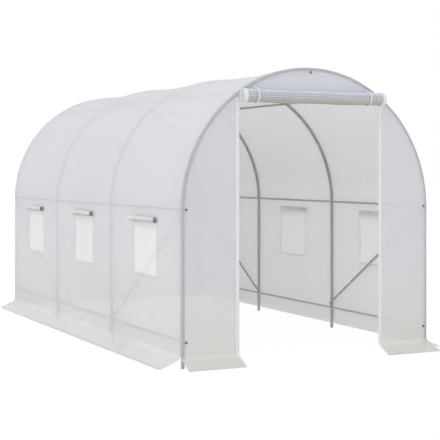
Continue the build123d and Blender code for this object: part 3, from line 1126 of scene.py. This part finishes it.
# A bolt's washer, nut and end: sides, radius, and from where to where it stands
BOLT_STEPS = ((16, 0.0075, -0.0012, 0.0012), (6, 0.0062, 0.0012, 0.0064), (10, 0.003, 0.0064, 0.0098))
BOLT_DRAFT = 0.96


def add_bolt(bm, spot, way):
    """Adds a washer, a nut and the bolt's end, standing on a surface."""
    turn = way.to_track_quat("Z", "Y").to_matrix().to_4x4()
    for sides, radius, low, high in BOLT_STEPS:
        place = Matrix.Translation(spot + way * (low + high) / 2) @ turn
        bmesh.ops.create_cone(
            bm, cap_ends=True, segments=sides, radius1=radius, radius2=radius * BOLT_DRAFT,
            depth=high - low, matrix=place,
        )


def make_bolts():
    """The bolts where purlins and braces cross the hoops, seen from inside."""
    bm = bmesh.new()
    for purlin in PURLINS:
        centre = middle(purlin)
        low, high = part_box(purlin)
        inward = Vector((-centre.x, 0, min(EAVE - centre.z, 0))).normalized()
        for row in ROWS:
            spot = Vector((centre.x, row, centre.z)) + inward * (high.x - low.x) / 2
            add_bolt(bm, spot, inward)
    for side, sign in SIDES:
        for ends in brace_ends():
            for end in ends:
                add_bolt(bm, end + Vector((sign * (BRACE_FACE - BRACE_PLATE), 0, 0)), Vector((-sign, 0, 0)))
    bolts = add_piece("frame_bolts", bm, ZINC)
    bolts.data.set_sharp_from_angle(angle=radians(35))


CAP_RADIUS = 0.0090


def make_caps():
    """Dark plugs over the purlins' ends, which come through the end sheets."""
    purlin_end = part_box("ridge_purlin")[1].y
    steps = (
        (CAP_RADIUS, PANEL_PLANE - 0.002), (CAP_RADIUS, purlin_end + 0.001),
        (CAP_RADIUS * 0.9, purlin_end + 0.0022), (CAP_RADIUS * 0.5, purlin_end + 0.0028),
    )
    bm = bmesh.new()
    for purlin in PURLINS:
        centre = middle(purlin)
        for facing in (-1, 1):
            way = Vector((0, facing, 0))
            places = [
                circle_at(Vector((centre.x, facing * out, centre.z)), way, radius, Vector((1, 0, 0)))
                for radius, out in steps
            ]
            pipe(bm, TUBE_SIDES, places, capped=True)
    bmesh.ops.recalc_face_normals(bm, faces=bm.faces[:])
    caps = add_piece("purlin_end_caps", bm, CAP)
    caps.data.set_sharp_from_angle(angle=radians(45))


WELT = 0.0016
WELT_STAND = 0.0004
WELT_SIDES = 8
WELT_HEIGHTS = (FLARE_RISE, 0.3, 0.6, 0.9)


def make_welt(name, facing):
    """The sewn edge between the cover and an end sheet, along the hoop, in the seam's darker film: partly
    painted shade.
    """
    out = PANEL_EDGE
    y = facing * (PANEL_PLANE + WELT_STAND)
    places = [circle_at(Vector((out, y, z)), (0, 0, 1), WELT) for z in WELT_HEIGHTS]
    for step in range(ARCH_STEPS + 1):
        angle = pi * step / ARCH_STEPS
        spot = Vector((out * cos(angle), y, EAVE + out * sin(angle)))
        places.append(circle_at(spot, (-sin(angle), 0, cos(angle)), WELT))
    places += [circle_at(Vector((-out, y, z)), (0, 0, -1), WELT) for z in reversed(WELT_HEIGHTS)]
    bm = bmesh.new()
    pipe(bm, WELT_SIDES, places, capped=True)
    bmesh.ops.recalc_face_normals(bm, faces=bm.faces[:])
    return add_piece(name, bm, SEAM_AND_SHADE)


door_roll, door_flat = make_door_roll()
door_ties = make_door_ties()
door_tapes = make_door_tapes()
zip_tapes = make_zip_tapes()
zip_teeth = make_zip_teeth()
make_bolts()
make_caps()
for hoop, row in zip(HOOPS, ROWS):
    make_arch(hoop, row)
    for side, sign in SIDES:
        make_leg(hoop, row, side, sign)

cover_trim = []
for side, sign in SIDES:
    make_braces(side, sign)
    screens, screen_flat = make_screens(side, sign)
    rolls, flap_flat = make_flap_rolls(side, sign)
    flap_ties = make_flap_ties(side, sign)
    cover_trim += [make_side_hem(side, sign), make_seam(side, sign), make_surrounds(side, sign)]

beside_door = [(-PANEL_EDGE, -DOOR_HALF), (DOOR_HALF, PANEL_EDGE)]
front_trim = [make_end_hems("front_hems", -1, beside_door), make_welt("front_welt", -1), zip_tapes, zip_teeth]
back_trim = [make_end_hems("back_hem", 1, [(-PANEL_EDGE, PANEL_EDGE)]), make_welt("back_welt", 1)]

# The purlins keep their own solids, with their tube's finish
for purlin in PURLINS:
    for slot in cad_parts[purlin].material_slots:
        slot.material = PURLIN_TUBE

# Camera at the photograph's viewing angle
PHOTO_SIZE = 440
CAMERA_PLACE = (-4.209, -9.156, 1.341)
CAMERA_TURN = 26.0037
FOCAL_PIXELS = 1167.77
HORIZON_PIXEL = 169.55
SENSOR = 36.0
camera_data = bpy.data.cameras.new("camera")
camera_data.sensor_width = SENSOR
camera_data.lens = FOCAL_PIXELS / PHOTO_SIZE * SENSOR
camera_data.shift_y = (HORIZON_PIXEL - PHOTO_SIZE / 2) / PHOTO_SIZE
camera = bpy.data.objects.new("camera", camera_data)
camera.location = CAMERA_PLACE
camera.rotation_euler = (pi / 2, 0, -radians(CAMERA_TURN))
bpy.context.scene.collection.objects.link(camera)
bpy.context.scene.camera = camera


FLOOR_SIZE = 60.0
FLOOR_GLOW = 1.02
FLOOR_WHITE = 0.93
SEEN_RAYS = ("Is Camera Ray", "Is Glossy Ray", "Is Transmission Ray")


def make_floor():
    """A wide pale floor that is seen nearly white, with a faint shadow."""
    bm = bmesh.new()
    bmesh.ops.create_grid(bm, x_segments=1, y_segments=1, size=FLOOR_SIZE)
    mesh = bpy.data.meshes.new("floor")
    bm.to_mesh(mesh)
    bm.free()
    finish = Finish("pale_floor")
    matt = finish.node("BsdfDiffuse", inputs={"Color": shade(0.92, 0.905, 0.88)})
    white = finish.node("Emission", inputs={"Color": shade(1, 1, 1), "Strength": FLOOR_GLOW})
    paths = [finish.node("LightPath", output=ray) for ray in SEEN_RAYS]
    seen = paths[0].larger(paths[1]).larger(paths[2])
    surface = finish.node("MixShader", inputs={0: seen * FLOOR_WHITE, 1: matt, 2: white})
    mesh.materials.append(finish.done(surface))
    floor = bpy.data.objects.new("floor", mesh)
    bpy.context.scene.collection.objects.link(floor)


LAMP_STRENGTH = 0.5
LAMP_SPREAD = radians(50)
LAMP_TURN = (radians(38), 0, radians(-62))


def make_light():
    """An even white sky, and one broad soft lamp from the left."""
    world = bpy.data.worlds.new("white_sky")
    world.use_nodes = True
    sky = world.node_tree.nodes["Background"]
    sky.inputs["Color"].default_value = shade(1.0, 1.0, 1.0)
    sky.inputs["Strength"].default_value = 1.0
    bpy.context.scene.world = world
    lamp_data = bpy.data.lights.new("soft_lamp", "SUN")
    lamp_data.energy = LAMP_STRENGTH
    lamp_data.angle = LAMP_SPREAD
    lamp = bpy.data.objects.new("soft_lamp", lamp_data)
    lamp.rotation_euler = LAMP_TURN
    bpy.context.scene.collection.objects.link(lamp)


make_floor()
make_light()
bpy.context.scene.view_settings.view_transform = "Standard"
